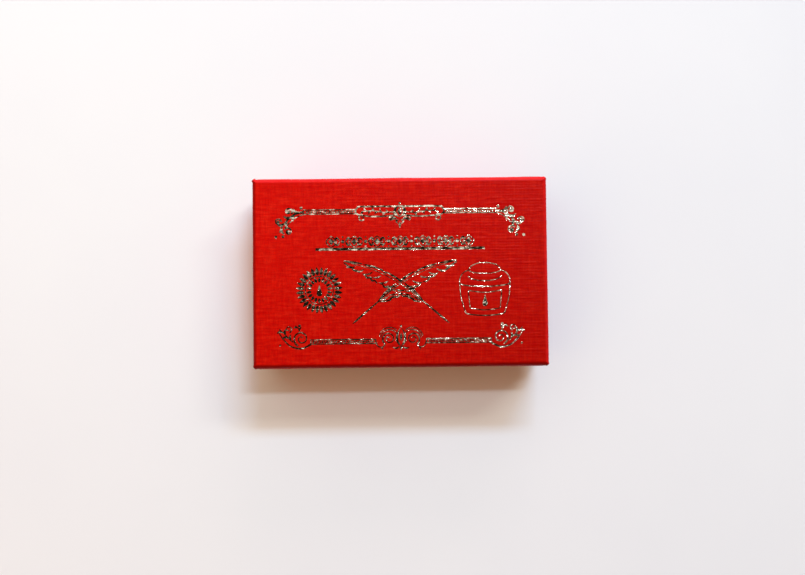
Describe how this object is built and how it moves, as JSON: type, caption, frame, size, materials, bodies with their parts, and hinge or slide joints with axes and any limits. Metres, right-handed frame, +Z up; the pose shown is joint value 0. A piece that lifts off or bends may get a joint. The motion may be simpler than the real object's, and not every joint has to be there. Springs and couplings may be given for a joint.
{
  "type": "sample card box",
  "caption": "Small rigid box with a foil-stamped lift-off lid that stores a deck of ink sample cards.",
  "frame": {"origin": "on the surface the box stands on, under the centre of its footprint", "axes": "+X along the box's length, -Y towards its front edge, +Z up through the lid"},
  "size_m": [0.1006, 0.0646, 0.028],
  "materials": {
    "linen_wrap": "cloth-embossed red covering paper, satin",
    "greyboard": "raw recycled greyboard, matte",
    "liner_paper": "uncoated off-white lining paper",
    "stay_tape": "gummed kraft tape, matte",
    "silver_foil": "hot-stamped pale silver foil, satin",
    "card_stock": "uncoated sample card, lightly toothed"
  },
  "bodies": {
    "base": {"base_board": "greyboard", "base_wrap": "linen_wrap", "base_lining": "liner_paper", "base_corner_stay_back_right": "stay_tape", "base_corner_stay_back_left": "stay_tape", "base_corner_stay_front_left": "stay_tape", "base_corner_stay_front_right": "stay_tape"},
    "lid": {"lid_board": "greyboard", "lid_wrap": "linen_wrap", "lid_lining": "liner_paper", "lid_corner_stay_back_right": "stay_tape", "lid_corner_stay_back_left": "stay_tape", "lid_corner_stay_front_left": "stay_tape", "lid_corner_stay_front_right": "stay_tape", "foil_border_back": "silver_foil", "foil_border_front": "silver_foil", "foil_ornament_row": "silver_foil", "foil_rule": "silver_foil", "foil_quills": "silver_foil", "foil_ink_bottle": "silver_foil", "foil_emblem": "silver_foil"},
    "deck": {"card_01": "card_stock", "card_02": "card_stock", "card_03": "card_stock", "card_04": "card_stock", "card_05": "card_stock", "card_06": "card_stock", "card_07": "card_stock", "card_08": "card_stock", "card_09": "card_stock", "card_10": "card_stock", "card_11": "card_stock", "card_12": "card_stock", "card_13": "card_stock", "card_14": "card_stock", "card_15": "card_stock", "card_16": "card_stock", "card_17": "card_stock", "card_18": "card_stock", "card_19": "card_stock", "card_20": "card_stock", "card_21": "card_stock", "card_22": "card_stock", "card_23": "card_stock", "card_24": "card_stock", "card_25": "card_stock", "card_26": "card_stock", "card_27": "card_stock", "card_28": "card_stock", "card_29": "card_stock", "card_30": "card_stock", "card_31": "card_stock", "card_32": "card_stock", "card_33": "card_stock", "card_34": "card_stock", "card_35": "card_stock"},
    "top_card": {"card_36": "card_stock"}
  },
  "joints": [
    {"name": "lid_lift", "type": "slide", "parent": "base", "child": "lid", "axis": [0, 0, 1], "range_m": [0, 0.07]},
    {"name": "deck_lift", "type": "slide", "parent": "base", "child": "deck", "axis": [0, 0, 1], "range_m": [0, 0.028]},
    {"name": "top_card_lift", "type": "slide", "parent": "deck", "child": "top_card", "axis": [0, 0, 1], "range_m": [0, 0.014]}
  ],
  "couplings": [
    {"joint": "deck_lift", "follows": "lid_lift", "ratio": 0.4},
    {"joint": "top_card_lift", "follows": "lid_lift", "ratio": 0.2}
  ]
}
